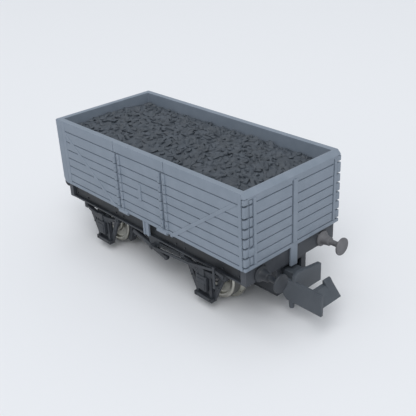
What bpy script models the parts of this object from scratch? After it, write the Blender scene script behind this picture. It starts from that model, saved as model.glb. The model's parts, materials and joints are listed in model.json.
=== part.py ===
"""N gauge model of a four-wheel, seven-plank open coal wagon.

The frame: +X towards the end door, +Y across the wagon, +Z up. The origin is on the surface under the
wheel flanges, below the middle of the wagon. Shapes are worked out in millimetres and stored in metres.
"""
import math

import bmesh
import bpy
from mathutils import Matrix, Vector

MM = 0.001

# ---------------------------------------------------------------- driving dimensions, in millimetres
BODY_LENGTH = 36.0
BODY_WIDTH = 16.3
BODY_HEIGHT = 9.45
BODY_BOTTOM = 8.3
WALL = 0.8
CURB_RAIL = 0.53
PLANK = 1.2
WIDE_PLANK = 1.49
GROOVE_WIDTH = 0.12
GROOVE_DEPTH = 0.12
RELIEF = 0.14
RIM_BEVEL = 0.55
REBATE_X = 0.42
REBATE_Y = 0.55
IRON_TOP = 8.8
CAVITY_HEIGHT = 1.2
TUB_FLOOR = 0.8

AXLE_X = 10.33
FLANGE_RADIUS = 3.6
TREAD_RADIUS = 3.1
WHEEL_BACK = 3.7
WHEEL_FRONT = 5.6
AXLE_Z = FLANGE_RADIUS
AXLE_RADIUS = 0.75
BUSH_RADIUS = 1.05
JOURNAL_RADIUS = 0.4
TIP_Y = 7.45

SOLEBAR_BOTTOM = 6.07
SOLEBAR_FACE = 7.75
SOLEBAR_WEB = 7.4
FRAME_HALF_LENGTH = 17.65
FLOOR_BOTTOM = 7.5
FLOOR_HALF_WIDTH = 7.1
FLANGE_THICKNESS = 0.26
HEADSTOCK_REAR = 16.8

BUFFER_Y = 5.45
BUFFER_Z = 6.9
BUFFER_FACE = 20.9

POCKET_TOP = 5.85
POCKET_BOTTOM = 2.6
POCKET_HALF = 2.6
POCKET_REAR = 12.4

BOSS_X = 1.0
BOSS_Z = 4.85

PIVOT_X = 14.5
COUPLER_Z = 4.7
ARM_FACE = 2.35
ARM_END = 23.95

FIT = 0.04

# ---------------------------------------------------------------- worked out from the above
HALF_L = BODY_LENGTH / 2
HALF_W = BODY_WIDTH / 2
PLANK_LINES = [CURB_RAIL + PLANK * i for i in range(6)]
PLANK_LINES.append(PLANK_LINES[-1] + WIDE_PLANK)
RIM_Z = BODY_BOTTOM + BODY_HEIGHT
TUB_FLOOR_BOTTOM = BODY_BOTTOM + CAVITY_HEIGHT
TUB_FLOOR_TOP = TUB_FLOOR_BOTTOM + TUB_FLOOR
SOLEBAR_TOP = BODY_BOTTOM - FIT

PARTS = "open_wagon"
SCRATCH = "open_wagon_scratch"


# ---------------------------------------------------------------- scene and materials
def clear_scene():
    for obj in list(bpy.data.objects):
        bpy.data.objects.remove(obj, do_unlink=True)


def collection(name):
    found = bpy.data.collections.get(name) or bpy.data.collections.new(name)
    if name not in bpy.context.scene.collection.children:
        bpy.context.scene.collection.children.link(found)
    return found


def material(name, colour, roughness, metallic=0.0):
    made = bpy.data.materials.new(name)
    made.use_nodes = True
    shader = made.node_tree.nodes["Principled BSDF"]
    shader.inputs["Base Color"].default_value = (*colour, 1.0)
    shader.inputs["Roughness"].default_value = roughness
    shader.inputs["Metallic"].default_value = metallic
    return made


# ---------------------------------------------------------------- shapes: each returns a mesh in millimetres
def mesh_from(work, name):
    mesh = bpy.data.meshes.new(name)
    work.normal_update()
    work.to_mesh(mesh)
    work.free()
    return mesh


def block(low, high):
    """Box between two corners, given in any order."""
    work = bmesh.new()
    bmesh.ops.create_cube(work, size=1.0)
    size = [abs(h - l) for l, h in zip(low, high)]
    middle = [(l + h) / 2 for l, h in zip(low, high)]
    bmesh.ops.scale(work, vec=size, verts=work.verts)
    bmesh.ops.translate(work, vec=middle, verts=work.verts)
    return mesh_from(work, "block")


AXIS_TURN = {
    "X": Matrix.Rotation(math.radians(90), 4, "Y"),
    "Y": Matrix.Rotation(math.radians(-90), 4, "X"),
    "Z": Matrix.Identity(4),
}


def drum(axis, centre, radius, length, end_radius=None, sides=20):
    """Cylinder or cone about an axis, its radius at the low end and end_radius at the high end."""
    work = bmesh.new()
    top = radius if end_radius is None else end_radius
    bmesh.ops.create_cone(work, cap_ends=True, segments=sides, radius1=radius, radius2=top, depth=length)
    bmesh.ops.transform(work, matrix=Matrix.Translation(centre) @ AXIS_TURN[axis], verts=work.verts)
    return mesh_from(work, "drum")


def plate(outline, side, front, back):
    """Flat outline in X and Z, extruded along Y between front and back on one side of the wagon."""
    curve = bpy.data.curves.new("plate", "CURVE")
    curve.dimensions = "2D"
    curve.fill_mode = "BOTH"
    curve.extrude = abs(front - back) / 2
    spline = curve.splines.new("POLY")
    spline.points.add(len(outline) - 1)
    for point, (x, z) in zip(spline.points, outline):
        point.co = (x, z, 0, 1)
    spline.use_cyclic_u = True
    stand = Matrix.Translation((0, side * (front + back) / 2, 0)) @ Matrix.Rotation(math.radians(90), 4, "X")
    return curve_mesh(curve, stand)


def curve_mesh(curve, placing):
    """A curve's evaluated mesh with its caps welded on."""
    holder = bpy.data.objects.new("curve", curve)
    collection(SCRATCH).objects.link(holder)
    bpy.context.view_layer.update()
    mesh = bpy.data.meshes.new_from_object(holder.evaluated_get(bpy.context.evaluated_depsgraph_get()))
    bpy.data.objects.remove(holder, do_unlink=True)
    work = bmesh.new()
    work.from_mesh(mesh)
    bmesh.ops.remove_doubles(work, verts=work.verts, dist=0.001)
    bmesh.ops.recalc_face_normals(work, faces=work.faces)
    bmesh.ops.transform(work, matrix=placing, verts=work.verts)
    return mesh_from(work, "curve")


def turned(profile, steps):
    """Profile of (radius, distance along Y) from one end to the other, turned about Y."""
    work = bmesh.new()
    points = [work.verts.new((radius, 0, -along)) for radius, along in profile]
    for first, second in zip(points, points[1:]):
        work.edges.new((first, second))
    holder = bpy.data.objects.new("turned", mesh_from(work, "turned"))
    collection(SCRATCH).objects.link(holder)
    screw = holder.modifiers.new("turn", "SCREW")
    screw.steps = screw.render_steps = steps
    screw.use_merge_vertices = True
    screw.merge_threshold = 0.0001
    bpy.context.view_layer.update()
    mesh = bpy.data.meshes.new_from_object(holder.evaluated_get(bpy.context.evaluated_depsgraph_get()))
    bpy.data.objects.remove(holder, do_unlink=True)
    work = bmesh.new()
    work.from_mesh(mesh)
    bmesh.ops.recalc_face_normals(work, faces=work.faces)
    bmesh.ops.transform(work, matrix=Matrix.Rotation(math.radians(90), 4, "X"), verts=work.verts)
    return mesh_from(work, "turned")


def moved(mesh, offset=(0, 0, 0), half_turn=False, mirror_y=False):
    """Copy of a mesh, mirrored in Y or turned half round Z, then shifted."""
    copy = mesh.copy()
    change = Matrix.Translation(offset)
    if half_turn:
        change = change @ Matrix.Rotation(math.pi, 4, "Z")
    if mirror_y:
        change = change @ Matrix.Scale(-1, 4, (0, 1, 0))
    copy.transform(change)
    if mirror_y:
        copy.flip_normals()
    return copy


def combine(base, others, operation):
    """One body from a base mesh and a list of others, by exact Booleans."""
    scratch = collection(SCRATCH)
    holder = bpy.data.objects.new("base", base)
    scratch.objects.link(holder)
    helpers = []
    for other in others:
        helper = bpy.data.objects.new("helper", other)
        scratch.objects.link(helper)
        helpers.append(helper)
        step = holder.modifiers.new("step", "BOOLEAN")
        step.operation = operation
        step.solver = "EXACT"
        step.object = helper
    bpy.context.view_layer.update()
    mesh = bpy.data.meshes.new_from_object(holder.evaluated_get(bpy.context.evaluated_depsgraph_get()))
    for obj in [holder, *helpers]:
        bpy.data.objects.remove(obj, do_unlink=True)
    return mesh


def fuse(shapes):
    return combine(shapes[0], shapes[1:], "UNION")


def cut(base, tools):
    return combine(base, tools, "DIFFERENCE")


def piece(name, mesh, finish, origin=(0, 0, 0), parent=None, smooth=False):
    """Store a mesh as a named piece in metres, with its origin at a point given in millimetres."""
    mesh.transform(Matrix.Scale(MM, 4) @ Matrix.Translation(-Vector(origin)))
    mesh.name = name
    mesh.materials.clear()
    mesh.materials.append(finish)
    if smooth:
        mesh.shade_smooth()
        mesh.set_sharp_from_angle(angle=math.radians(35))
    made = bpy.data.objects.new(name, mesh)
    collection(PARTS).objects.link(made)
    made.location = Vector(origin) * MM
    if parent:
        made.parent = parent
        made.location = made.location - parent.location
    return made


def pivot(name, point):
    """Empty on a joint's axis, for the pieces that move together."""
    made = bpy.data.objects.new(name, None)
    collection(PARTS).objects.link(made)
    made.empty_display_size = 2 * MM
    made.location = Vector(point) * MM
    return made


# ---------------------------------------------------------------- body tub
def plank_slabs():
    """The curb rail and seven planks as separate slabs, a groove apart."""
    edges = [0.0, *PLANK_LINES, BODY_HEIGHT]
    slabs = []
    for lower, upper in zip(edges, edges[1:]):
        bottom = lower + (GROOVE_WIDTH / 2 if lower > 0 else 0)
        top = upper - (GROOVE_WIDTH / 2 if upper < BODY_HEIGHT else 0)
        slabs.append(block((-HALF_L, -HALF_W, BODY_BOTTOM + bottom), (HALF_L, HALF_W, BODY_BOTTOM + top)))
    return slabs


def side_fittings(side):
    """Corner plates, door straps, knuckles, diagonals and door stop on one long side."""
    face = HALF_W
    deep = HALF_W - GROOVE_DEPTH - 0.1
    proud = HALF_W + RELIEF

    def on_side(x0, x1, h0, h1, outer, inner=deep):
        return block((x0, side * inner, BODY_BOTTOM + h0), (x1, side * outer, BODY_BOTTOM + h1))

    shapes = [
        on_side(-HALF_L + 0.02, -16.1, 0.05, BODY_HEIGHT - 0.05, face + 0.05),
        on_side(17.1, 17.5, 0.05, BODY_HEIGHT - 0.12, face + 0.04),
        on_side(-0.35, 0.2, 2.85, 5.1, proud),
    ]
    strap_top = PLANK_LINES[-1] - 0.1
    for hinge in (-1, 1):
        shapes.append(on_side(hinge * 3.72, hinge * 4.22, 0.02, strap_top, proud))
        shapes.append(on_side(hinge * 4.62, hinge * 5.12, 0.02, strap_top, proud))
        knuckle = (hinge * 3.9, side * (face - 0.05), BODY_BOTTOM - 0.03)
        shapes.append(drum("X", knuckle, 0.3, 1.9, sides=12))
        corners = ((17.0, 8.0), (16.4, 8.2), (5.2, 0.1), (6.2, 0.1))
        diagonal = [(hinge * x, BODY_BOTTOM + h) for x, h in corners]
        shapes.append(plate(diagonal, side, deep, face + 0.1))
    stop = on_side(-0.17, 0.9, -1.95, 0.3, face - 0.02, SOLEBAR_FACE + FIT)
    shapes.append(stop)
    return shapes


def door_end_fittings():
    """Strips, rivet cells, middle stanchion and post on the +X end."""
    inner = HALF_L - GROOVE_DEPTH - 0.1

    def on_end(y0, y1, h0, h1, outer):
        return block((inner, y0, BODY_BOTTOM + h0), (outer, y1, BODY_BOTTOM + h1))

    shapes = [
        on_end(-6.78, -6.36, 0.55, 8.64, HALF_L + 0.12),
        on_end(6.98, 7.4, 0.55, 8.64, HALF_L + 0.08),
        on_end(-0.35, 0.35, 0.3, 8.5, HALF_L + 0.1),
    ]
    edges = [0.6, *PLANK_LINES[1:], 8.75]
    for number, (lower, upper) in enumerate(zip(edges, edges[1:])):
        if number == 1:
            shapes.append(on_end(-7.55, -6.3, lower + 0.03, upper - 0.1, HALF_L + 0.07))
        else:
            shapes.append(on_end(-7.36, -6.95, lower + 0.12, upper - 0.12, HALF_L + 0.08))
    shapes.append(block((FRAME_HALF_LENGTH + FIT, -0.57, 5.66), (HALF_L + 0.02, 0.57, BODY_BOTTOM + 0.3)))
    return shapes


def corner_irons():
    """Segments round both corners of the +X end, one to each plank, with gaps at the grooves."""
    gap = 0.1
    levels = [-gap, *PLANK_LINES, IRON_TOP + gap]
    shapes = []
    for side in (-1, 1):
        for lower, upper in zip(levels, levels[1:]):
            low = (HALF_L - REBATE_X - 0.05, side * (HALF_W - REBATE_Y - 0.05), BODY_BOTTOM + lower + gap)
            high = (HALF_L + 0.04, side * (HALF_W + 0.04), BODY_BOTTOM + upper - gap)
            shapes.append(block(low, high))
    return shapes


def end_cuts():
    """Rebates for the corner irons and the bevel along the rim of the +X end."""
    tools = []
    for side in (-1, 1):
        low = (HALF_L - REBATE_X, side * (HALF_W - REBATE_Y), BODY_BOTTOM - 1)
        tools.append(block(low, (HALF_L + 1, side * (HALF_W + 1), BODY_BOTTOM + IRON_TOP + 0.06)))
    step = RIM_BEVEL
    bevel = [(-2 * step, step), (step, -2 * step), (2, -2 * step), (2, step)]
    tools.append(plate([(HALF_L + x, RIM_Z + z) for x, z in bevel], 1, -HALF_W - 1, HALF_W + 1))
    return tools


def fixed_end_fittings():
    """Two upright end stanchions and corner plates on the -X end."""
    inner = -HALF_L + GROOVE_DEPTH + 0.1
    shapes = []
    for side in (-1, 1):
        low = (inner, side * 2.5, BODY_BOTTOM + 0.05)
        shapes.append(block(low, (-HALF_L - 0.35, side * 3.5, RIM_Z - 0.6)))
        low = (inner, side * 6.6, BODY_BOTTOM + 0.05)
        shapes.append(block(low, (-HALF_L - 0.05, side * 8.13, RIM_Z - 0.05)))
    return shapes


def body_tub(finish):
    core = block(
        (-HALF_L + GROOVE_DEPTH, -HALF_W + GROOVE_DEPTH, BODY_BOTTOM + 0.2),
        (HALF_L - GROOVE_DEPTH, HALF_W - GROOVE_DEPTH, RIM_Z - 0.2),
    )
    shapes = [core, *plank_slabs(), *side_fittings(-1), *side_fittings(1)]
    shapes += door_end_fittings() + fixed_end_fittings()
    inside_x = HALF_L - WALL
    inside_y = HALF_W - WALL
    tools = [
        block((-inside_x, -inside_y, TUB_FLOOR_TOP), (inside_x, inside_y, RIM_Z + 1)),
        block((-inside_x, -inside_y, BODY_BOTTOM - 1), (inside_x, inside_y, TUB_FLOOR_BOTTOM)),
    ]
    for side in (-1, 1):
        for x in (-4.92, 4.92):
            low = (x - 0.05, side * (HALF_W - 0.1), BODY_BOTTOM + PLANK_LINES[-1] + 0.05)
            tools.append(block(low, (x + 0.05, side * (HALF_W + 1), RIM_Z - 0.1)))
    shell = cut(fuse(shapes), tools + end_cuts())
    piece("body_tub", fuse([shell, *corner_irons()]), finish)


# ---------------------------------------------------------------- load and ballast
def coal_height(x, y):
    """Gently heaped, uneven top of the coal."""
    across = math.cos(math.pi * y / (2 * HALF_W))
    along = math.cos(math.pi * (x + 3.0) / (3.0 * HALF_L))
    lumps = 0.12 * math.sin(1.9 * x + 0.7 * y) * math.cos(1.3 * y - 0.4 * x)
    return RIM_Z - 1.55 + 0.85 * across * along + lumps


def coal_load(finish):
    half_x = HALF_L - WALL - 0.12
    half_y = HALF_W - WALL - 0.12
    bottom = RIM_Z - 2.6
    work = bmesh.new()
    bmesh.ops.create_grid(work, x_segments=26, y_segments=12, size=1.0)
    for vert in work.verts:
        vert.co.x *= half_x
        vert.co.y *= half_y
        vert.co.z = coal_height(vert.co.x, vert.co.y)
    rim = [edge for edge in work.edges if edge.is_boundary]
    skirt = bmesh.ops.extrude_edge_only(work, edges=rim)["geom"]
    for vert in [item for item in skirt if isinstance(item, bmesh.types.BMVert)]:
        vert.co.z = bottom
    bmesh.ops.holes_fill(work, edges=[edge for edge in work.edges if edge.is_boundary], sides=0)
    bmesh.ops.recalc_face_normals(work, faces=work.faces)
    heap = mesh_from(work, "heap")
    ribs = [
        block((x - 0.5, -half_y + 1, TUB_FLOOR_TOP + FIT), (x + 0.5, half_y - 1, bottom + 0.3))
        for x in (-10.0, 10.0)
    ]
    piece("coal_load", fuse([heap, *ribs]), finish)


def ballast_weight(finish):
    low = (-15.0, -6.6, BODY_BOTTOM + 0.28)
    piece("ballast_weight", block(low, (15.0, 6.6, TUB_FLOOR_BOTTOM - FIT)), finish)


# ---------------------------------------------------------------- underframe


def underframe(finish):
    inside_x = HALF_L - WALL - 0.15
    length = FRAME_HALF_LENGTH
    low = (-inside_x, -FLOOR_HALF_WIDTH, FLOOR_BOTTOM)
    shapes = [block(low, (inside_x, FLOOR_HALF_WIDTH, BODY_BOTTOM + 0.24))]
    for side in (-1, 1):
        low = (-length, side * 6.9, SOLEBAR_BOTTOM)
        shapes.append(block(low, (length, side * SOLEBAR_WEB, SOLEBAR_TOP)))
        for z in (SOLEBAR_BOTTOM, SOLEBAR_TOP - FLANGE_THICKNESS):
            low = (-length, side * 7.3, z)
            shapes.append(block(low, (length, side * SOLEBAR_FACE, z + FLANGE_THICKNESS)))
    for end in (-1, 1):
        low = (end * HEADSTOCK_REAR, -SOLEBAR_FACE, SOLEBAR_BOTTOM - 0.02)
        shapes.append(block(low, (end * length, SOLEBAR_FACE, SOLEBAR_TOP - 0.01)))
        low = (end * POCKET_REAR, -POCKET_HALF, POCKET_BOTTOM)
        shapes.append(block(low, (end * (length - 0.01), POCKET_HALF, FLOOR_BOTTOM + 0.3)))
        for side in (-1, 1):
            low = (end * 15.6, side * 6.2, SOLEBAR_BOTTOM + 0.9)
            shapes.append(block(low, (end * 17.0, side * 7.2, FLOOR_BOTTOM + 0.2)))
    tools = []
    for end in (-1, 1):
        tools.append(block((end * 12.85, -2.05, POCKET_BOTTOM - 1), (end * 17.2, 2.05, POCKET_TOP)))
        tools.append(block((end * 17.0, -1.75, POCKET_BOTTOM - 1), (end * 18.5, 1.75, POCKET_TOP - 0.1)))
    piece("underframe", cut(fuse(shapes), tools), finish)


# ---------------------------------------------------------------- axleguards
def arc_strip(half_span, sag, thickness, top_z, steps=4):
    """Outline of one spring leaf: a shallow arc, lowest in the middle, about x = 0."""
    xs = [half_span * (2 * i / steps - 1) for i in range(steps + 1)]
    upper = [(x, top_z - sag * (1 - (x / 3.6) ** 2)) for x in xs]
    lower = [(x, z - thickness) for x, z in reversed(upper)]
    return upper + lower


def axleguard_shape():
    """One guard on the -Y side about x = 0: W-iron, axlebox, leaf spring, shoes and keep."""
    side = -1
    top = SOLEBAR_BOTTOM - FIT
    shapes = [
        block((-1.45, side * 6.95, 1.35), (1.45, side * 7.35, 5.6)),
        block((-1.55, side * 6.95, 1.2), (1.55, side * 7.86, 1.75)),
    ]
    for end in (-1, 1):
        leg = [(end * x, z) for x, z in ((0.95, 1.3), (1.55, 1.3), (3.75, top), (2.95, top))]
        shapes.append(plate(leg, side, 6.97, 7.33))
        shapes.append(block((end * 0.95, side * 7.0, 1.4), (end * 1.4, side * 7.62, 5.2)))
        shapes.append(block((end * 3.25, side * 7.02, 5.28), (end * 3.95, side * 7.7, top - 0.01)))
    shapes.append(block((-0.85, side * 7.2, 2.55), (0.85, side * 8.0, 4.55)))
    shapes.append(block((-0.68, side * 7.5, 2.75), (0.68, side * 8.1, 4.2)))
    for leaf in range(4):
        outline = arc_strip(3.55 - 0.68 * leaf, 0.5, 0.26, 5.85 - 0.22 * leaf)
        shapes.append(plate(outline, side, 7.25 + 0.01 * leaf, 7.78 - 0.015 * leaf))
    shapes.append(block((-0.45, side * 7.28, 4.3), (0.45, side * 7.88, 5.6)))
    cup = drum("Y", (0, side * 7.2, AXLE_Z), 0.34, 1.0, 0.8, sides=16)
    return cut(fuse(shapes), [cup])


def axleguards(finish):
    shape = axleguard_shape()
    for end, end_name in ((1, "front"), (-1, "rear")):
        for side, side_name in ((-1, "right"), (1, "left")):
            place = (end * AXLE_X, 0, 0)
            guard = moved(shape, place, half_turn=side > 0)
            piece(f"axleguard_{end_name}_{side_name}", guard, finish)


# ---------------------------------------------------------------- brakes
def bar(start, end, width):
    """Outline of a straight bar of the given width between two points in X and Z."""
    (x0, z0), (x1, z1) = start, end
    length = math.hypot(x1 - x0, z1 - z0)
    nx = -(z1 - z0) / length * width / 2
    nz = (x1 - x0) / length * width / 2
    return [(x0 + nx, z0 + nz), (x1 + nx, z1 + nz), (x1 - nx, z1 - nz), (x0 - nx, z0 - nz)]


def brake_rigging_shape():
    """V-hanger, boss, rod, long lever and its guard on the -Y side."""
    side = -1
    top = SOLEBAR_BOTTOM - FIT
    hanger = [(-0.3, top), (2.3, top), (BOSS_X + 0.45, 4.2), (BOSS_X - 0.45, 4.2)]
    shapes = [
        plate(hanger, side, 7.2, 7.5),
        drum("Y", (BOSS_X, side * 7.45, BOSS_Z), 0.36, 1.2, sides=14),
        plate(bar((-3.2, 5.5), (3.2, 3.95), 0.62), side, 7.12, 7.62),
        drum("Y", (3.2, side * 7.37, 3.95), 0.36, 0.54, sides=10),
        plate(bar((BOSS_X, 5.2), (5.95, 5.4), 0.6), side, 7.1, 7.4),
        plate(bar((BOSS_X - 0.2, BOSS_Z + 0.05), (8.2, 5.45), 0.36), side, 7.9, 8.08),
        plate(bar((8.1, 5.42), (12.8, 6.35), 0.36), side, 7.91, 8.07),
        plate(bar((12.6, 6.33), (14.3, 6.1), 0.42), side, 7.92, 8.09),
        block((12.6, side * 8.02, 3.9), (12.98, side * 8.2, 6.85)),
        block((12.61, side * (SOLEBAR_FACE + FIT), 6.55), (12.97, side * 8.18, 6.84)),
        block((12.61, side * 7.45, 3.91), (12.97, side * 8.18, 4.15)),
    ]
    return fuse(shapes)


def brake_rigging(finish):
    shape = brake_rigging_shape()
    piece("brake_rigging_right", shape.copy(), finish)
    piece("brake_rigging_left", moved(shape, half_turn=True), finish)


def brake_shoe_shape():
    """Hanger and block on the -Y side, inboard (-X) of a wheel whose centre is at x = 0."""
    side = -1
    inner = TREAD_RADIUS + 0.12
    outer = TREAD_RADIUS + 0.75
    spread = math.radians(28)
    middle = math.radians(188)
    angles = [middle - spread + 2 * spread * i / 6 for i in range(7)]
    face = [(inner * math.cos(a), AXLE_Z + inner * math.sin(a)) for a in angles]
    back = [(outer * math.cos(a), AXLE_Z + outer * math.sin(a)) for a in reversed(angles)]
    hanger = block((-4.15, side * 4.7, 2.4), (-3.7, side * 5.2, FLOOR_BOTTOM - FIT))
    foot = block((-4.35, side * 4.6, FLOOR_BOTTOM - 0.5), (-3.5, side * 5.3, FLOOR_BOTTOM - FIT - 0.01))
    return fuse([plate(face + back, side, 4.45, 5.45), hanger, foot])


def brake_shoes(finish):
    shape = brake_shoe_shape()
    for end, end_name in ((1, "front"), (-1, "rear")):
        for side, side_name in ((-1, "right"), (1, "left")):
            half_turn = end < 0
            mirror = side * end > 0
            shoe = moved(shape, (end * AXLE_X, 0, 0), half_turn=half_turn, mirror_y=mirror)
            piece(f"brake_shoe_{end_name}_{side_name}", shoe, finish)


# ---------------------------------------------------------------- buffers
def buffer_shape():
    """Housing, shank and head along +Y from the headstock face at y = 0."""
    reach = BUFFER_FACE - FRAME_HALF_LENGTH - FIT
    profile = [
        (0.0, 0.0),
        (1.0, 0.0),
        (1.0, 0.18),
        (0.72, 0.3),
        (0.52, 1.35),
        (0.36, 1.4),
        (0.36, reach - 0.55),
        (1.0, reach - 0.36),
        (1.13, reach - 0.2),
        (1.1, reach - 0.04),
        (1.0, reach),
        (0.0, reach),
    ]
    return turned(profile, 18)


def buffers(finish):
    shape = buffer_shape()
    for end, end_name in ((1, "front"), (-1, "rear")):
        for side, side_name in ((-1, "right"), (1, "left")):
            stub = shape.copy()
            stub.transform(Matrix.Rotation(math.radians(-90 * end), 4, "Z"))
            face = end * (FRAME_HALF_LENGTH + FIT)
            stub.transform(Matrix.Translation((face, side * BUFFER_Y, BUFFER_Z)))
            piece(f"buffer_{end_name}_{side_name}", stub, finish, smooth=True)


# ---------------------------------------------------------------- wheelsets
def wheel_profile():
    """Flanged wheel from the back rim to the front, with a dished web."""
    bore = BUSH_RADIUS + 0.03
    return [
        (bore, WHEEL_BACK),
        (2.5, WHEEL_BACK + 0.02),
        (FLANGE_RADIUS - 0.18, WHEEL_BACK + 0.06),
        (FLANGE_RADIUS, WHEEL_BACK + 0.24),
        (FLANGE_RADIUS - 0.16, WHEEL_BACK + 0.44),
        (TREAD_RADIUS + 0.04, WHEEL_BACK + 0.58),
        (TREAD_RADIUS - 0.03, WHEEL_FRONT - 0.12),
        (TREAD_RADIUS - 0.12, WHEEL_FRONT),
        (2.55, WHEEL_FRONT),
        (2.4, WHEEL_FRONT - 0.45),
        (1.55, WHEEL_FRONT - 0.35),
        (1.45, WHEEL_FRONT - 0.02),
        (bore, WHEEL_FRONT - 0.02),
        (bore, WHEEL_BACK),
    ]


def bush_profile():
    inner = AXLE_RADIUS + 0.03
    low, high = WHEEL_BACK - 0.1, WHEEL_FRONT + 0.05
    return [(inner, low), (BUSH_RADIUS, low), (BUSH_RADIUS, high), (inner, high), (inner, low)]


def axle_profile():
    half = [
        (AXLE_RADIUS, WHEEL_FRONT + 0.2),
        (JOURNAL_RADIUS, WHEEL_FRONT + 0.35),
        (JOURNAL_RADIUS, TIP_Y - 0.55),
        (0.0, TIP_Y),
    ]
    return [(radius, -along) for radius, along in reversed(half)] + half


def wheelsets(steel, wheel_metal, plastic):
    wheel = turned(wheel_profile(), 28)
    bush = turned(bush_profile(), 16)
    axle = turned(axle_profile(), 16)
    for end, end_name in ((1, "front"), (-1, "rear")):
        centre = (end * AXLE_X, 0, AXLE_Z)
        spin = pivot(f"wheelset_{end_name}", centre)
        piece(f"axle_{end_name}", moved(axle, centre), steel, centre, spin, smooth=True)
        for side, side_name in ((-1, "right"), (1, "left")):
            label = f"{end_name}_{side_name}"
            half_turn = side < 0
            piece(f"wheel_{label}", moved(wheel, centre, half_turn), wheel_metal, centre, spin, smooth=True)
            piece(f"bush_{label}", moved(bush, centre, half_turn), plastic, centre, spin, smooth=True)


# ---------------------------------------------------------------- couplers
def hook_outline():
    """Section of the sloping hook plate in X and Z: it leans back towards the top."""
    lean = 0.6
    return [(23.75, 3.15), (22.45, 4.62), (22.45 - lean, 4.62), (23.75 - lean, 3.15)]


def coupler_shape():
    """Shank with its tail, cross plate, long arm, peg and hook, for the +X end."""
    low, high = COUPLER_Z - 0.5, COUPLER_Z + 0.5
    arm_inner = ARM_FACE - 0.4
    shapes = [
        block((13.95, -1.55, low - 0.9), (14.75, 1.55, high + 0.1)),
        block((14.5, -0.95, low), (20.0, 0.95, high)),
        block((19.65, -ARM_FACE + 0.02, 3.45), (20.2, 2.3, 6.0)),
        plate([(19.66, 5.9), (20.19, 5.9), (20.19, 6.35), (19.66, 6.35)], 1, -1.6, 1.2),
        block((18.15, -ARM_FACE, 2.35), (ARM_END, -arm_inner, 5.2)),
        drum("Z", (19.35, -ARM_FACE + 0.42, 1.95), 0.3, 1.2, 0.4, sides=12),
        plate(hook_outline(), 1, -arm_inner - 0.2, 1.6),
        plate([(22.0, 4.3), (22.75, 4.3), (22.3, 5.2), (21.85, 5.2)], 1, 0.3, 1.5),
    ]
    return fuse(shapes)


def coil(start_x, end_x, turns, radius, wire):
    """Closed coil spring along X, one point every twelfth of a turn."""
    per_turn = 12
    curve = bpy.data.curves.new("coil", "CURVE")
    curve.dimensions = "3D"
    curve.bevel_depth = wire / 2
    curve.bevel_resolution = 1
    curve.use_fill_caps = True
    spline = curve.splines.new("POLY")
    count = turns * per_turn + 1
    spline.points.add(count - 1)
    for number, point in enumerate(spline.points):
        share = number / (count - 1)
        turn = 2 * math.pi * turns * share
        x = start_x + (end_x - start_x) * share
        point.co = (x, radius * math.cos(turn), COUPLER_Z + radius * math.sin(turn), 1)
    return curve_mesh(curve, Matrix.Identity(4))


def couplers(plastic, steel):
    hook = coupler_shape()
    spring = coil(13.1, 13.75, 3, 0.48, 0.16)
    cover = fuse([
        block((12.45, -2.55, POCKET_BOTTOM - 0.3), (17.6, 2.55, POCKET_BOTTOM - FIT)),
        block((13.3, -1.9, POCKET_BOTTOM - 0.2), (16.8, -1.7, POCKET_BOTTOM + 0.03)),
        block((13.3, 1.7, POCKET_BOTTOM - 0.2), (16.8, 1.9, POCKET_BOTTOM + 0.03)),
    ])
    for end, end_name in ((1, "front"), (-1, "rear")):
        half_turn = end < 0
        point = (end * PIVOT_X, 0, COUPLER_Z)
        swing = pivot(f"coupler_{end_name}_pivot", point)
        piece(f"coupler_{end_name}", moved(hook, half_turn=half_turn), plastic, point, swing)
        coiled = moved(spring, half_turn=half_turn)
        piece(f"coupler_spring_{end_name}", coiled, steel, point, swing, smooth=True)
        piece(f"coupler_cover_{end_name}", moved(cover, half_turn=half_turn), plastic)


# ---------------------------------------------------------------- the wagon
def build():
    clear_scene()
    body_plastic = material("body_plastic", (0.21, 0.25, 0.29), 0.55)
    coal = material("coal", (0.02, 0.022, 0.024), 0.45)
    frame_plastic = material("frame_plastic", (0.022, 0.024, 0.028), 0.6)
    steel = material("steel", (0.45, 0.45, 0.46), 0.35, 1.0)
    wheel_metal = material("wheel_metal", (0.5, 0.47, 0.38), 0.3, 1.0)
    body_tub(body_plastic)
    coal_load(coal)
    ballast_weight(steel)
    underframe(frame_plastic)
    axleguards(frame_plastic)
    brake_rigging(frame_plastic)
    brake_shoes(frame_plastic)
    buffers(frame_plastic)
    wheelsets(steel, wheel_metal, frame_plastic)
    couplers(frame_plastic, steel)


build()
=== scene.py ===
"""Looks of the N gauge open coal wagon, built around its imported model.

Shapes are worked out in millimetres in the frame of the model and stored in metres. The frame: +X towards
the end door, +Y across the wagon, +Z up, with the origin on the surface under the middle of the wagon.
"""
import json
import math
import random

import bmesh
import bpy
from mathutils import Matrix, Vector


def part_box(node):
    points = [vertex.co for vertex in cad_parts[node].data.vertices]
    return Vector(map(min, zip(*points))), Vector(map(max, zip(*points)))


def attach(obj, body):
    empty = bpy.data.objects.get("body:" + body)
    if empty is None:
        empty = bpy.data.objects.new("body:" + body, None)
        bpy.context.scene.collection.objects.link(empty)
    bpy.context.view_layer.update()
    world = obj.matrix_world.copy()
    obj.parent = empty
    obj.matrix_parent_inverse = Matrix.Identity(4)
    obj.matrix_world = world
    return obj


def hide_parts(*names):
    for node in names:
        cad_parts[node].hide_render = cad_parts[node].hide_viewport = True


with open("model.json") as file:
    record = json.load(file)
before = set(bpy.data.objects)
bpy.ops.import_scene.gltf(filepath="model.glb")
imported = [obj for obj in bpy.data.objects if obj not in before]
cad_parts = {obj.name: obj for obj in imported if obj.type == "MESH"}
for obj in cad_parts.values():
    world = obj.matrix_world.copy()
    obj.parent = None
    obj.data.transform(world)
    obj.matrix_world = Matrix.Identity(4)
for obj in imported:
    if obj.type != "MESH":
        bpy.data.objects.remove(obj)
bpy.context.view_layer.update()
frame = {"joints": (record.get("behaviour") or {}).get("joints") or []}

MM = 0.001

# ---------------------------------------------------------------- places read from the frame, in millimetres


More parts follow.
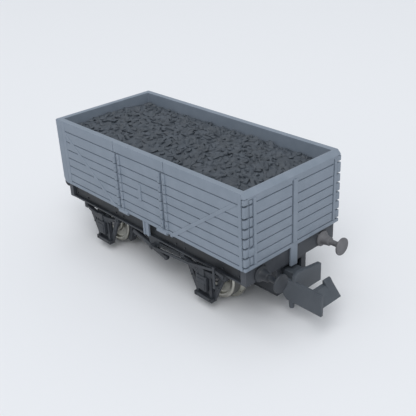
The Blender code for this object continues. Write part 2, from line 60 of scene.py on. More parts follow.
def box_mm(node):
    low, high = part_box(node)
    return low / MM, high / MM


COAL_LOW, COAL_HIGH = box_mm("coal_load")
FRAME_HIGH = box_mm("underframe")[1]
BALLAST_LOW, BALLAST_HIGH = box_mm("ballast_weight")
RIM_Z = box_mm("body_tub")[1].z
FRAME_HALF_LENGTH = FRAME_HIGH.x
SOLEBAR_FACE = FRAME_HIGH.y
AXLE = (box_mm("axle_front")[0] + box_mm("axle_front")[1]) / 2
AXLE_X = AXLE.x
AXLE_Z = AXLE.z
BUFFER_LOW, BUFFER_HIGH = box_mm("buffer_front_left")
BUFFER_Y = (BUFFER_LOW.y + BUFFER_HIGH.y) / 2
BUFFER_Z = (BUFFER_LOW.z + BUFFER_HIGH.z) / 2
PIVOT = Vector(frame["joints"][2]["pos_m"]) / MM

# ---------------------------------------------------------------- sizes of the details, in millimetres
BODY_HEIGHT = 9.45
BODY_BOTTOM = RIM_Z - BODY_HEIGHT
HALF_L = 18.0
HALF_W = 8.15
WALL = 0.8
CORNER_RADIUS = 0.12
PLANK_LINES = [0.53 + 1.2 * i for i in range(6)] + [8.02]
GROOVE_DEPTH = 0.17
GROOVE_EDGE, GROOVE_MOUTH, GROOVE_BED = 0.12, 0.07, 0.04
CURB_STEP = 0.04
RIM_BEVEL = 0.55
REBATE = (0.42, 0.55)
IRON_TOP = 8.8
SWEEP_RADIUS = 0.8
DOOR_STRAPS = ((3.72, 4.2), (4.62, 5.14))
CAVITY_HEIGHT = 1.2
TUB_FLOOR_TOP = 2.0
EDGE = 0.05
FIT = 0.04
SOLEBAR_BOTTOM = 6.07
SOLEBAR_TOP = BODY_BOTTOM - FIT
FLOOR_BOTTOM = 7.5


# ---------------------------------------------------------------- materials
def noise_node(nodes, links, coords, scale, detail=4.0, roughness=0.6):
    made = nodes.new("ShaderNodeTexNoise")
    made.inputs["Scale"].default_value = scale
    made.inputs["Detail"].default_value = detail
    made.inputs["Roughness"].default_value = roughness
    links.new(coords.outputs["Object"], made.inputs["Vector"])
    return made


def two_tone(nodes, links, factor, dark, light, low=0.35, high=0.65):
    ramp = nodes.new("ShaderNodeValToRGB")
    ramp.color_ramp.elements[0].position = low
    ramp.color_ramp.elements[0].color = (*dark, 1)
    ramp.color_ramp.elements[1].position = high
    ramp.color_ramp.elements[1].color = (*light, 1)
    links.new(factor, ramp.inputs["Fac"])
    return ramp


def material(name, dark, light, rough, metallic=0.0, patch=450.0, grain=4000.0, grain_depth=0.006):
    """Moulded plastic, coal or metal: slow patches of colour, varied gloss and a fine surface grain."""
    made = bpy.data.materials.new(name)
    made.use_nodes = True
    nodes = made.node_tree.nodes
    links = made.node_tree.links
    shader = nodes["Principled BSDF"]
    shader.inputs["Metallic"].default_value = metallic
    coords = nodes.new("ShaderNodeTexCoord")
    patches = noise_node(nodes, links, coords, patch)
    colour = two_tone(nodes, links, patches.outputs["Fac"], dark, light)
    links.new(colour.outputs["Color"], shader.inputs["Base Color"])
    fine = noise_node(nodes, links, coords, grain, detail=3.0)
    gloss = nodes.new("ShaderNodeMapRange")
    gloss.inputs["From Min"].default_value = 0.3
    gloss.inputs["From Max"].default_value = 0.7
    gloss.inputs["To Min"].default_value = rough[0]
    gloss.inputs["To Max"].default_value = rough[1]
    links.new(patches.outputs["Fac"], gloss.inputs["Value"])
    links.new(gloss.outputs["Result"], shader.inputs["Roughness"])
    bump = nodes.new("ShaderNodeBump")
    bump.inputs["Strength"].default_value = 0.35
    bump.inputs["Distance"].default_value = grain_depth * MM
    links.new(fine.outputs["Fac"], bump.inputs["Height"])
    links.new(bump.outputs["Normal"], shader.inputs["Normal"])
    return made


BODY_PLASTIC = material("body_plastic", (0.190, 0.228, 0.279), (0.219, 0.258, 0.312), (0.48, 0.62))
COAL_FACE = material(
    "coal", (0.040, 0.049, 0.061), (0.063, 0.076, 0.094), (0.5, 0.68),
    patch=700.0, grain=2500.0, grain_depth=0.03,
)
FRAME_PLASTIC = material("frame_plastic", (0.018, 0.021, 0.027), (0.035, 0.041, 0.050), (0.42, 0.6))
# Painted shade: a darker plastic for the solebar webs, in place of the shade inside the channel under the
# body and above the bottom flange.
SHADED_WEB_PLASTIC = material("shaded_web_plastic", (0.009, 0.011, 0.014), (0.018, 0.022, 0.027), (0.45, 0.62))
# A paler plastic than the rest of the frame, used for the headstocks and their studs.
PALE_FRAME_PLASTIC = material("pale_frame_plastic", (0.040, 0.045, 0.054), (0.066, 0.073, 0.086), (0.5, 0.7))
COUPLER_PLASTIC = material("coupler_plastic", (0.056, 0.066, 0.080), (0.074, 0.086, 0.101), (0.45, 0.6))
STEEL = material("steel", (0.36, 0.36, 0.37), (0.52, 0.52, 0.53), (0.25, 0.42), metallic=1.0)
WHEEL_METAL = material("wheel_metal", (0.33, 0.33, 0.29), (0.55, 0.54, 0.49), (0.25, 0.4), metallic=1.0)
# Painted shade: dark metal for the band round the tread, in place of the shade on the tread and its
# reflection of the dark underframe.
SHADED_TREAD_METAL = material("shaded_tread_metal", (0.10, 0.10, 0.10), (0.20, 0.20, 0.19), (0.4, 0.6), metallic=0.8)
# A paler plastic, used on the front left buffer alone.
PALE_BUFFER_PLASTIC = material("pale_buffer_plastic", (0.095, 0.095, 0.100), (0.155, 0.155, 0.165), (0.5, 0.7))


# ---------------------------------------------------------------- shapes: each returns a mesh in millimetres
def mesh_from(work):
    mesh = bpy.data.meshes.new("shape")
    work.normal_update()
    work.to_mesh(mesh)
    work.free()
    return mesh


def soften(work, radius, segments=2):
    """Rounds every edge whose faces meet at more than 25 degrees."""
    sharp = [e for e in work.edges if len(e.link_faces) == 2 and e.calc_face_angle() > math.radians(25)]
    bmesh.ops.bevel(
        work, geom=sharp, offset=radius, segments=segments, profile=0.5, affect="EDGES", clamp_overlap=True
    )


def block(low, high, radius=EDGE):
    """Box between two corners, given in any order, with rounded edges."""
    work = bmesh.new()
    bmesh.ops.create_cube(work, size=1.0)
    size = [abs(h - l) for l, h in zip(low, high)]
    middle = [(l + h) / 2 for l, h in zip(low, high)]
    bmesh.ops.scale(work, vec=size, verts=work.verts)
    soften(work, min(radius, 0.3 * min(size)))
    bmesh.ops.translate(work, vec=middle, verts=work.verts)
    return mesh_from(work)


AXIS_TURN = {
    "X": Matrix.Rotation(math.radians(90), 4, "Y"),
    "Y": Matrix.Rotation(math.radians(-90), 4, "X"),
    "Z": Matrix.Identity(4),
}


def drum(axis, centre, radius, length, end_radius=None, sides=24, edge=EDGE):
    """Cylinder or cone about an axis with rounded rims."""
    work = bmesh.new()
    top = radius if end_radius is None else end_radius
    bmesh.ops.create_cone(work, cap_ends=True, segments=sides, radius1=radius, radius2=top, depth=length)
    soften(work, min(edge, 0.4 * min(radius, top)))
    bmesh.ops.transform(work, matrix=Matrix.Translation(centre) @ AXIS_TURN[axis], verts=work.verts)
    return mesh_from(work)


def plate(outline, side, front, back, radius=EDGE):
    """Outline in X and Z given some thickness along Y on one side of the wagon, with rounded edges."""
    work = bmesh.new()
    near, far = sorted((side * front, side * back))
    face = work.faces.new([work.verts.new((x, near, z)) for x, z in outline])
    grown = bmesh.ops.extrude_face_region(work, geom=[face])["geom"]
    bmesh.ops.translate(
        work, vec=(0, far - near, 0), verts=[item for item in grown if isinstance(item, bmesh.types.BMVert)]
    )
    bmesh.ops.recalc_face_normals(work, faces=work.faces)
    soften(work, min(radius, 0.3 * (far - near)))
    return mesh_from(work)


def skin(rings, close_ends=True):
    """Faces between rings of equally many points, each ring closed."""
    work = bmesh.new()
    loops = [[work.verts.new(point) for point in ring] for ring in rings]
    count = len(loops[0])
    for first, second in zip(loops, loops[1:]):
        for i in range(count):
            j = (i + 1) % count
            work.faces.new((first[i], first[j], second[j], second[i]))
    if close_ends:
        work.faces.new(loops[0][::-1])
        work.faces.new(loops[-1])
    bmesh.ops.recalc_face_normals(work, faces=work.faces)
    return mesh_from(work)


def lathe(profile, sides=48, closed=False):
    """Profile of (radius, distance along Y) turned about Y. A closed profile makes a ring with a bore."""
    points = [*profile, profile[0]] if closed else profile
    turns = [2 * math.pi * i / sides for i in range(sides)]
    rings = [[(r * math.cos(a), along, r * math.sin(a)) for a in turns] for r, along in points]
    if not closed:
        return skin(rings)
    mesh = skin(rings, close_ends=False)
    work = bmesh.new()
    work.from_mesh(mesh)
    bmesh.ops.remove_doubles(work, verts=work.verts, dist=1e-5)
    bmesh.ops.recalc_face_normals(work, faces=work.faces)
    return mesh_from(work)


def tube(path, radius, sides=10):
    """Round bar along a list of points."""
    rings = []
    for number, here in enumerate(path):
        before = path[max(number - 1, 0)]
        after = path[min(number + 1, len(path) - 1)]
        along = (Vector(after) - Vector(before)).normalized()
        if rings:
            across = (across - along * across.dot(along)).normalized()
        else:
            across = along.orthogonal().normalized()
        other = along.cross(across)
        turns = [2 * math.pi * i / sides for i in range(sides)]
        rings.append([Vector(here) + radius * (across * math.cos(a) + other * math.sin(a)) for a in turns])
    return skin(rings)


def stud(axis, centre, radius=0.13, height=0.16, sides=6):
    """Small moulded bolt head."""
    return drum(axis, centre, radius, height, radius * 0.85, sides=sides, edge=0.02)


def moved(mesh, offset=(0, 0, 0), half_turn=False, mirror_y=False):
    """Copy of a mesh, mirrored in Y or turned half round Z, then shifted."""
    copy = mesh.copy()
    change = Matrix.Translation(offset)
    if half_turn:
        change = change @ Matrix.Rotation(math.pi, 4, "Z")
    if mirror_y:
        change = change @ Matrix.Scale(-1, 4, (0, 1, 0))
    copy.transform(change)
    if mirror_y:
        copy.flip_normals()
    return copy


def joined(shapes):
    work = bmesh.new()
    for shape in shapes:
        work.from_mesh(shape)
    return mesh_from(work)


def cut(mesh, tools):
    """Mesh with the tools' volumes taken out."""
    holder = bpy.data.objects.new("holder", mesh)
    bpy.context.scene.collection.objects.link(holder)
    helpers = []
    for tool in tools:
        helper = bpy.data.objects.new("helper", tool)
        bpy.context.scene.collection.objects.link(helper)
        helpers.append(helper)
        step = holder.modifiers.new("step", "BOOLEAN")
        step.operation = "DIFFERENCE"
        step.solver = "EXACT"
        step.object = helper
    bpy.context.view_layer.update()
    made = bpy.data.meshes.new_from_object(holder.evaluated_get(bpy.context.evaluated_depsgraph_get()))
    for obj in [holder, *helpers]:
        bpy.data.objects.remove(obj, do_unlink=True)
    return made


def piece(name, mesh, finish, slot, body, *nodes, crease=50.0):
    """Store a mesh in metres as a shown piece that rides on a body and stands for CAD nodes."""
    mesh = mesh.copy()
    mesh.transform(Matrix.Scale(MM, 4))
    mesh.name = name
    mesh.materials.clear()
    mesh.materials.append(finish)
    mesh.shade_smooth()
    mesh.set_sharp_from_angle(angle=math.radians(crease))
    made = bpy.data.objects.new(name, mesh)
    bpy.context.scene.collection.objects.link(made)
    weighted = made.modifiers.new("normals", "WEIGHTED_NORMAL")
    weighted.keep_sharp = True
    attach(made, body)
    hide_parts(*nodes)
    return made


# ---------------------------------------------------------------- camera, floor and light
CAMERA_TARGET = Vector((3.521, -0.198, 8.30))
CAMERA_AZIMUTH = 48.23
CAMERA_ELEVATION = 27.06
CAMERA_ROLL = -2.85
CAMERA_DISTANCE = 89.11
CAMERA_LENS = 59.48


def camera():
    azimuth = math.radians(CAMERA_AZIMUTH)
    height = math.radians(CAMERA_ELEVATION)
    back = Vector((
        math.sin(azimuth) * math.cos(height),
        -math.cos(azimuth) * math.cos(height),
        math.sin(height),
    ))
    data = bpy.data.cameras.new("camera")
    data.lens = CAMERA_LENS
    data.sensor_width = 36.0
    data.clip_start = 0.005
    data.clip_end = 20.0
    made = bpy.data.objects.new("camera", data)
    bpy.context.scene.collection.objects.link(made)
    made.rotation_mode = "QUATERNION"
    made.location = (CAMERA_TARGET + back * CAMERA_DISTANCE) * MM
    roll = Matrix.Rotation(math.radians(CAMERA_ROLL), 3, "Z").to_quaternion()
    made.rotation_quaternion = (-back).to_track_quat("-Z", "Y") @ roll
    bpy.context.scene.camera = made


def soft_light(name, place, size, watts, colour):
    data = bpy.data.lights.new(name, "AREA")
    data.shape = "SQUARE"
    data.size = size
    data.energy = watts
    data.color = colour
    made = bpy.data.objects.new(name, data)
    bpy.context.scene.collection.objects.link(made)
    made.location = place
    made.rotation_mode = "QUATERNION"
    made.rotation_quaternion = (-Vector(place)).to_track_quat("-Z", "Y")


def studio():
    scene = bpy.context.scene
    scene.view_settings.view_transform = "Standard"
    world = bpy.data.worlds.new("studio")
    world.use_nodes = True
    background = world.node_tree.nodes["Background"]
    background.inputs["Color"].default_value = (0.92, 0.96, 1.0, 1)
    background.inputs["Strength"].default_value = 0.57
    scene.world = world
    soft_light("top", (-0.30, 0.10, 1.9), 1.2, 7.5, (1.0, 1.0, 1.0))
    soft_light("front", (0.66, -0.74, 1.2), 1.1, 12.0, (1.0, 1.0, 1.0))
    work = bmesh.new()
    bmesh.ops.create_grid(work, x_segments=1, y_segments=1, size=3.0)
    floor = bpy.data.objects.new("floor", mesh_from(work))
    scene.collection.objects.link(floor)
    paper = bpy.data.materials.new("paper")
    paper.use_nodes = True
    shader = paper.node_tree.nodes["Principled BSDF"]
    shader.inputs["Base Color"].default_value = (0.79, 0.80, 0.825, 1)
    shader.inputs["Roughness"].default_value = 0.9
    floor.data.materials.append(paper)


# ---------------------------------------------------------------- body tub
def perimeter(inset, height):
    """Points round the body at an inset from its outer face; the bottom sweeps up at the -X end.

    The points of the sweep stop short of the corner's arc, so that no ring folds back over itself.
    """
    half_x = HALF_L - inset
    half_y = HALF_W - inset
    radius = max(CORNER_RADIUS - inset, 0.02)
    sweep = []
    for place, share in enumerate((0.0, 0.2, 0.4, 0.6, 0.75)):
        straight_end = -(half_x - radius) + 0.004 * (5 - place)
        sweep.append(max(-HALF_L + SWEEP_RADIUS * (1 - share), straight_end))
    points = []
    for sx, sy, start in ((1, 1, 0), (-1, 1, 90), (-1, -1, 180), (1, -1, 270)):
        if (sx, sy) == (-1, 1):
            points += [(x, half_y) for x in sweep]
        for step in range(4):
            angle = math.radians(start + 30 * step)
            x = sx * (half_x - radius) + radius * math.cos(angle)
            y = sy * (half_y - radius) + radius * math.sin(angle)
            points.append((x, y))
        if (sx, sy) == (-1, -1):
            points += [(x, -half_y) for x in reversed(sweep)]
    ring = []
    for x, y in points:
        run = min(max(-HALF_L + SWEEP_RADIUS - x, 0.0), SWEEP_RADIUS)
        lift = SWEEP_RADIUS - math.sqrt(SWEEP_RADIUS ** 2 - run ** 2)
        ring.append((x, y, BODY_BOTTOM + max(height, lift if inset < WALL else 0.0)))
    return ring


def wall_profile():
    """(inset, height) from the tub floor up the inside, over the rim, down the planks and into the cavity."""
    rim = BODY_HEIGHT
    profile = [(WALL, TUB_FLOOR_TOP), (WALL, rim - 0.07), (WALL - 0.02, rim - 0.02), (WALL - 0.07, rim)]
    profile += [(0.07, rim), (0.02, rim - 0.02), (0.0, rim - 0.07)]
    for line in reversed(PLANK_LINES):
        below = -CURB_STEP if line == PLANK_LINES[0] else 0.0
        profile += [(0.0, line + GROOVE_EDGE), (0.03, line + GROOVE_MOUTH), (GROOVE_DEPTH, line + GROOVE_BED)]
        profile += [(GROOVE_DEPTH, line - GROOVE_BED), (below + 0.03, line - GROOVE_MOUTH)]
        profile.append((below, line - GROOVE_EDGE))
    profile += [(-CURB_STEP, 0.07), (-CURB_STEP + 0.02, 0.02), (-CURB_STEP + 0.07, 0.0)]
    profile += [(WALL - 0.05, 0.0), (WALL, 0.05), (WALL, CAVITY_HEIGHT)]
    return profile


def side_grooves(side):
    """Slots between the door straps, and seams in the top plank."""
    tools = []
    for hinge in (-1, 1):
        low = (hinge * 4.23, side * (HALF_W - 0.17), BODY_BOTTOM + 0.35)
        tools.append(block(low, (hinge * 4.58, side * (HALF_W + 1), BODY_BOTTOM + 7.93), 0.0))
        low = (hinge * 4.92 - 0.045, side * (HALF_W - 0.12), BODY_BOTTOM + 8.1)
        tools.append(block(low, (hinge * 4.92 + 0.045, side * (HALF_W + 1), RIM_Z + 1), 0.0))
    return tools


def end_grooves():
    """Channels beside the strips of the +X end, notches across its corners and the bevel of its rim."""
    tools = []
    for y0, y1 in ((-7.46, -6.84), (6.84, 7.46)):
        tools.append(block((HALF_L - 0.17, y0, BODY_BOTTOM + 0.6), (HALF_L + 1, y1, BODY_BOTTOM + 8.62), 0.0))
    for side in (-1, 1):
        low = (HALF_L - REBATE[0], side * (HALF_W - REBATE[1]), BODY_BOTTOM - 1)
        tools.append(block(low, (HALF_L + 1, side * (HALF_W + 1), BODY_BOTTOM + IRON_TOP + 0.06), 0.0))
    bevel = [(-2 * RIM_BEVEL, RIM_BEVEL), (RIM_BEVEL, -2 * RIM_BEVEL), (2, -2 * RIM_BEVEL), (2, RIM_BEVEL)]
    tools.append(plate([(HALF_L + x, RIM_Z + z) for x, z in bevel], 1, -HALF_W - 1, HALF_W + 1, 0.0))
    low = (HALF_L - 0.16, -0.5, BODY_BOTTOM + 0.6)
    tools.append(block(low, (HALF_L + 1, -0.3, BODY_BOTTOM + 8.45), 0.0))
    return tools


def side_fittings(side):
    """Corner plates, door straps, knuckles, diagonals and door stop on one long side."""
    deep = HALF_W - 0.3

    def on_side(x0, x1, h0, h1, relief, inner=deep, radius=EDGE):
        low = (x0, side * inner, BODY_BOTTOM + h0)
        return block(low, (x1, side * (HALF_W + relief), BODY_BOTTOM + h1), radius)

    top = BODY_HEIGHT - 0.09
    corner = [(-HALF_L + 0.01, top), (-HALF_L + 0.01, SWEEP_RADIUS)]
    for step in range(1, 7):
        turn = math.radians(15 * step)
        x = -HALF_L + SWEEP_RADIUS * (1 - math.cos(turn)) + 0.01
        corner.append((x, SWEEP_RADIUS * (1 - math.sin(turn)) + 0.01))
    corner += [(-16.82, 0.01), (-16.82, top)]
    corner = [(x, BODY_BOTTOM + h) for x, h in corner]
    shapes = [
        plate(corner, side, deep, HALF_W + 0.07),
        on_side(-16.86, -16.06, 0.01, top, 0.045),
        on_side(17.08, 17.5, 0.01, top, 0.045),
        on_side(-0.35, 0.2, 2.85, 5.1, 0.12),
        on_side(-5.45, -5.3, 0.1, 0.44, 0.1),
        on_side(5.3, 5.75, -0.22, 0.3, 0.03, SOLEBAR_FACE + FIT),
    ]
    levels = [-0.03, *PLANK_LINES]
    for hinge in (-1, 1):
        for inner, outer in DOOR_STRAPS:
            middle = hinge * (inner + outer) / 2
            for lower, upper in zip(levels, levels[1:]):
                strap = on_side(hinge * inner, hinge * outer, lower + 0.05, upper - 0.05, 0.13, radius=0.04)
                bolt = (middle, side * (HALF_W + 0.15), BODY_BOTTOM + (lower + upper) / 2)
                shapes += [strap, stud("Y", bolt, 0.1, 0.1)]
        knuckle = (hinge * 3.9, side * (HALF_W - 0.05), BODY_BOTTOM - 0.03)
        shapes.append(drum("X", knuckle, 0.3, 1.9, sides=20))
        diagonal = ((17.06, 8.0), (16.3, 8.0), (5.2, 0.02), (6.1, 0.02))
        shapes.append(plate([(hinge * x, BODY_BOTTOM + h) for x, h in diagonal], side, deep, HALF_W + 0.06))
    for x0, x1, relief in ((-0.17, 0.16, -0.02), (0.1, 0.63, -0.12), (0.57, 0.9, -0.02)):
        shapes.append(on_side(x0, x1, -1.95, 0.2, relief, SOLEBAR_FACE + FIT))
    return shapes


def door_end_fittings():
    """Corner ladder and strip, segmented corner irons, middle stanchion and post on the +X end."""
    inner = HALF_L - 0.3

    def on_end(y0, y1, h0, h1, relief, radius=EDGE):
        low = (inner, y0, BODY_BOTTOM + h0)
        return block(low, (HALF_L + relief, y1, BODY_BOTTOM + h1), radius)

    edges = [0.58, *PLANK_LINES[1:], 8.66]
    shapes = [on_end(-6.78, -6.36, 0.55, 8.64, 0.13), on_end(6.98, 7.4, 0.55, 8.64, 0.08)]
    for number, (lower, upper) in enumerate(zip(edges, edges[1:])):
        if number == 1:
            shapes.append(on_end(-7.58, -6.32, lower + 0.03, upper - 0.22, 0.1, 0.09))
        else:
            shapes.append(on_end(-7.37, -6.93, lower + 0.1, upper - 0.1, 0.06))
    corners = [-0.1, *PLANK_LINES, IRON_TOP + 0.1]
    for side in (-1, 1):
        for lower, upper in zip(corners, corners[1:]):
            low = (HALF_L - REBATE[0] + 0.08, side * (HALF_W - REBATE[1] - 0.05), BODY_BOTTOM + lower + 0.1)
            high = (HALF_L + 0.04, side * (HALF_W + 0.04), BODY_BOTTOM + upper - 0.1)
            shapes.append(block(low, high, 0.1))
    shapes.append(on_end(-0.34, 0.38, 0.5, 8.5, 0.13))
    low = (FRAME_HALF_LENGTH + FIT, -0.57, 5.66)
    shapes.append(block(low, (HALF_L + 0.03, 0.57, BODY_BOTTOM + 0.3), 0.1))
    return shapes


def fixed_end_fittings():
    """Two upright end stanchions and corner plates on the -X end."""
    inner = -HALF_L + 0.3
    shapes = []
    for side in (-1, 1):
        foot = (inner, side * 2.55, BODY_BOTTOM + 0.3)
        shapes.append(block(foot, (-HALF_L - 0.33, side * 3.45, RIM_Z - 0.62), 0.08))
        corner = (inner, side * 6.62, BODY_BOTTOM + SWEEP_RADIUS)
        shapes.append(block(corner, (-HALF_L - 0.045, side * 8.1, RIM_Z - 0.09)))
        for line in PLANK_LINES[:-1]:
            for y in (2.8, 3.2):
                centre = (-HALF_L - 0.34, side * y, BODY_BOTTOM + line + 0.6)
                shapes.append(stud("X", centre, 0.1, 0.1))
    return shapes


def body_tub():
    shell = skin([perimeter(inset, height) for inset, height in wall_profile()])
    shell = cut(shell, [*side_grooves(-1), *side_grooves(1), *end_grooves()])
    shapes = [shell, *side_fittings(-1), *side_fittings(1), *door_end_fittings(), *fixed_end_fittings()]
    piece("wagon_body", joined(shapes), BODY_PLASTIC, "body_plastic", "wagon", "body_tub", crease=40.0)


# ---------------------------------------------------------------- coal
LUMP_SPACING = 0.86
LUMP_KINDS = 18
LUMP_TILT = 0.33
LUMP_SHIFT = 0.2
COAL_EDGE_DROP = 1.55
COAL_HEAP = 0.85
BED_DROP = 0.22


def coal_height(x, y):
    """Gently heaped, uneven top of the coal."""
    across = math.cos(math.pi * y / (2 * HALF_W))
    along = math.cos(math.pi * (x + 3.0) / (3.0 * HALF_L))
    lumps = 0.12 * math.sin(1.9 * x + 0.7 * y) * math.cos(1.3 * y - 0.4 * x)
    return RIM_Z - COAL_EDGE_DROP + COAL_HEAP * across * along + lumps


def lump(seed):
    """One broken lump of coal, about one unit across."""
    pick = random.Random(seed)
    work = bmesh.new()
    for _ in range(13):
        direction = Vector((pick.gauss(0, 1), pick.gauss(0, 1), pick.gauss(0, 1))).normalized()
        reach = pick.uniform(0.42, 0.55)
        work.verts.new((direction.x * reach * 1.3, direction.y * reach * 0.9, direction.z * reach * 0.62))
    hull = bmesh.ops.convex_hull(work, input=work.verts)
    spare = hull["geom_interior"] + hull["geom_unused"]
    inside = {item for item in spare if isinstance(item, bmesh.types.BMVert)}
    bmesh.ops.delete(work, geom=list(inside), context="VERTS")
    bmesh.ops.dissolve_limit(work, angle_limit=math.radians(14), verts=work.verts, edges=work.edges)
    soften(work, 0.1, segments=3)
    bmesh.ops.triangulate(work, faces=work.faces)
    points = [vert.co.copy() for vert in work.verts]
    polys = [[vert.index for vert in face.verts] for face in work.faces]
    work.free()
    return points, polys


def coal_load():
    half_x = COAL_HIGH.x - 0.05
    half_y = COAL_HIGH.y - 0.05
    work = bmesh.new()
    bmesh.ops.create_grid(work, x_segments=110, y_segments=46, size=1.0)
    for vert in work.verts:
        vert.co.x *= half_x
        vert.co.y *= half_y
        vert.co.z = coal_height(vert.co.x, vert.co.y) - BED_DROP
    rim = [edge for edge in work.edges if edge.is_boundary]
    skirt = bmesh.ops.extrude_edge_only(work, edges=rim)["geom"]
    for vert in [item for item in skirt if isinstance(item, bmesh.types.BMVert)]:
        vert.co.z = RIM_Z - 2.6
    bmesh.ops.holes_fill(work, edges=[edge for edge in work.edges if edge.is_boundary], sides=0)
    bmesh.ops.recalc_face_normals(work, faces=work.faces)
    bed = mesh_from(work)
    kinds = [lump(seed) for seed in range(LUMP_KINDS)]
    pick = random.Random(7)
    points = []
    faces = []
    columns = int(2 * half_x / LUMP_SPACING)
    rows = int(2 * half_y / (LUMP_SPACING * 0.82))
    for column in range(columns + 1):
        for row in range(rows + 1):
            x = -half_x + 2 * half_x * (column + 0.5 * (row % 2)) / columns
            x += pick.uniform(-LUMP_SHIFT, LUMP_SHIFT)
            y = -half_y + 2 * half_y * row / rows
            y += pick.uniform(-LUMP_SHIFT, LUMP_SHIFT)
            size = pick.uniform(0.75, 1.4)
            x = min(max(x, -half_x + 0.5 * size), half_x - 0.5 * size)
            y = min(max(y, -half_y + 0.5 * size), half_y - 0.5 * size)
            z = coal_height(x, y) - 0.05 + pick.uniform(-0.1, 0.1) - 0.22 * size
            turn = (
                Matrix.Rotation(pick.uniform(0, 2 * math.pi), 3, "Z")
                @ Matrix.Rotation(pick.gauss(0, LUMP_TILT), 3, "X")
                @ Matrix.Rotation(pick.gauss(0, LUMP_TILT), 3, "Y")
            )
            verts, polys = kinds[pick.randrange(LUMP_KINDS)]
            first = len(points)
            points += [Vector((x, y, z)) + turn @ (size * co) for co in verts]
            faces += [[first + index for index in poly] for poly in polys]
    lumps = bpy.data.meshes.new("lumps")
    lumps.from_pydata(points, [], faces)
    ribs = [
        block((x - 0.5, -half_y + 1, COAL_LOW.z), (x + 0.5, half_y - 1, RIM_Z - 2.4)) for x in (-10.0, 10.0)
    ]
    piece("coal", joined([bed, lumps, *ribs]), COAL_FACE, "coal", "coal", "coal_load", crease=28.0)


# ---------------------------------------------------------------- underframe
POCKET_TOP = 5.85
POCKET_BOTTOM = 2.6
POCKET_HALF = 2.6
POCKET_REAR = 12.4


def coupler_pocket(end):
    """Open-bottomed box behind the headstock that holds the coupler's tail."""
    front = FRAME_HALF_LENGTH - 0.01
    low = (end * POCKET_REAR, -POCKET_HALF, POCKET_TOP)
    shapes = [block(low, (end * front, POCKET_HALF, FLOOR_BOTTOM + 0.3))]
    low = (end * (POCKET_REAR + 0.01), 0.02 - POCKET_HALF, POCKET_BOTTOM + 0.02)
    shapes.append(block(low, (end * 12.85, POCKET_HALF - 0.02, POCKET_TOP + 0.15)))
    for side in (-1, 1):
        low = (end * POCKET_REAR, side * 2.05, POCKET_BOTTOM)
        shapes.append(block(low, (end * (front - 0.02), side * (POCKET_HALF - 0.01), POCKET_TOP + 0.2)))
        low = (end * 17.2, side * 1.75, POCKET_BOTTOM + 0.01)
        shapes.append(block(low, (end * (front - 0.04), side * 2.2, POCKET_TOP + 0.1)))
    return shapes


def underframe():
    inside_x = HALF_L - WALL - 0.15
    shapes = [block((-inside_x, -7.1, FLOOR_BOTTOM), (inside_x, 7.1, BODY_BOTTOM + 0.24))]
    length = FRAME_HALF_LENGTH
    webs = []
    for side in (-1, 1):
        inside = length - 0.3
        low = (-inside, side * 6.8, SOLEBAR_BOTTOM + 0.01)
        webs.append(block(low, (inside, side * 7.36, SOLEBAR_TOP - 0.01)))
        for z in (SOLEBAR_BOTTOM, SOLEBAR_TOP - 0.26):
            shapes.append(block((-inside, side * 7.2, z), (inside, side * (SOLEBAR_FACE - 0.02), z + 0.26)))
        for x in (-16.2, -13.6, -7.0, -5.4, 5.4, 7.0, 13.6, 16.2):
            for z in (6.75, 7.55):
                shapes.append(stud("Y", (x, side * 7.4, z)))
    beams = []
    for end in (-1, 1):
        low = (end * 16.8, -SOLEBAR_FACE, SOLEBAR_BOTTOM - 0.02)
        beams.append(block(low, (end * length, SOLEBAR_FACE, SOLEBAR_TOP - 0.01)))
        for side in (-1, 1):
            for y in (1.2, 3.4, 7.2):
                beams.append(stud("X", (end * (length - 0.02), side * y, 7.75), 0.14, 0.1))
        shapes += coupler_pocket(end)
        for side in (-1, 1):
            low = (end * 15.6, side * 6.2, SOLEBAR_BOTTOM + 0.9)
            shapes.append(block(low, (end * 17.0, side * 7.2, FLOOR_BOTTOM + 0.2)))
    for x in (-7.0, 0.0, 7.0):
        shapes.append(block((x - 0.4, -7.0, FLOOR_BOTTOM - 0.5), (x + 0.4, 7.0, FLOOR_BOTTOM + 0.1)))
    piece("chassis", joined(shapes), FRAME_PLASTIC, "frame_plastic", "wagon", "underframe")
    # The solebar webs carry painted shade: darker plastic standing in for the shade inside the channel.
    piece("solebar_webs", joined(webs), SHADED_WEB_PLASTIC, "frame_plastic", "wagon", "underframe")
    # The headstocks and their studs get a paler plastic than the rest of the frame.
    piece("end_beams", joined(beams), PALE_FRAME_PLASTIC, "frame_plastic", "wagon", "underframe")


def ballast_weight():
    shape = block(BALLAST_LOW, BALLAST_HIGH, 0.1)
    piece("ballast", shape, STEEL, "steel", "wagon", "ballast_weight")


# ---------------------------------------------------------------- axleguards
def leaf(half_span, sag, thickness, top_z, steps=12):
    """Outline of one spring leaf: a shallow arc, lowest in the middle."""
    xs = [half_span * (2 * i / steps - 1) for i in range(steps + 1)]
    upper = [(x, top_z - sag * (1 - (x / 3.6) ** 2)) for x in xs]
    return upper + [(x, z - thickness) for x, z in reversed(upper)]


